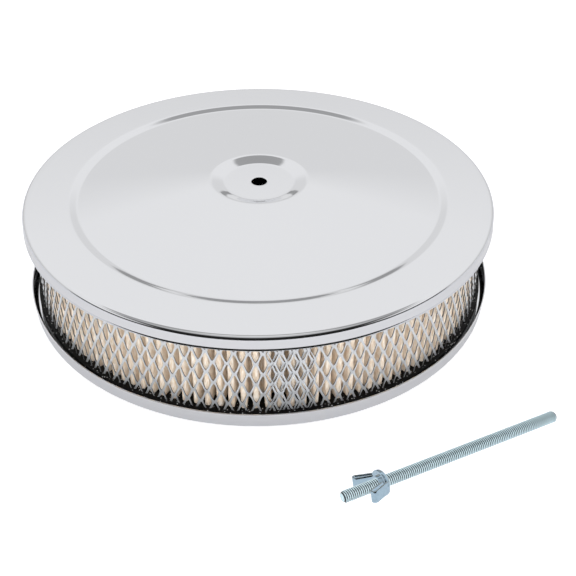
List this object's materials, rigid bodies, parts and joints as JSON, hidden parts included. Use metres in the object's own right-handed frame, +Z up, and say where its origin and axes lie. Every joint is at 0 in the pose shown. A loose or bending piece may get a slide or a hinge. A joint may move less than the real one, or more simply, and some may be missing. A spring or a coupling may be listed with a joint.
{
  "type": "carburetor air cleaner",
  "caption": "Round chrome air cleaner with a pleated paper ring behind expanded metal mesh, a low domed lid, a base with a neck collar, and its stud and wing nut beside it.",
  "frame": {"origin": "centre of the base's neck, at the lower edge of its collar", "axes": "+Z up along the axis of the neck and of the lid's stud hole; -Y towards the side where the mesh is lapped and the stud lies; the base stands on the plane z = -3 mm"},
  "size_m": [0.3768, 0.4335, 0.0871],
  "materials": {
    "chrome_base": "polished chrome plate",
    "gasket_rubber": "matt",
    "seal_rubber": "satin",
    "paper": "matt",
    "inner_mesh_metal": "satin",
    "mesh_metal": "satin",
    "top_seal_rubber": "satin",
    "chrome_lid": "polished chrome plate",
    "zinc_stud": "bright zinc plate",
    "zinc_nut": "bright zinc plate"
  },
  "bodies": {
    "cleaner": {"base_pan": "chrome_base", "neck_gasket": "gasket_rubber", "bottom_seal": "seal_rubber", "filter_paper": "paper", "inner_mesh": "inner_mesh_metal", "outer_mesh": "mesh_metal", "top_seal": "top_seal_rubber", "lid": "chrome_lid"},
    "stud": {"stud": "zinc_stud"},
    "wing_nut": {"wing_nut": "zinc_nut"}
  },
  "joints": [
    {"name": "stud_turn", "type": "hinge", "parent": "cleaner", "child": "stud", "pos_m": [0.07474, -0.23529, 0.00544], "axis": [-0.8983, -0.4381, 0.033], "range_deg": [-6120, 15120]},
    {"name": "nut_travel", "type": "slide", "parent": "cleaner", "child": "wing_nut", "axis": [-0.8983, -0.4381, 0.033], "range_m": [-0.05927, 0.02399]}
  ],
  "couplings": [
    {"joint": "nut_travel", "follows": "stud_turn", "m_per_rad": -0.00022459}
  ]
}
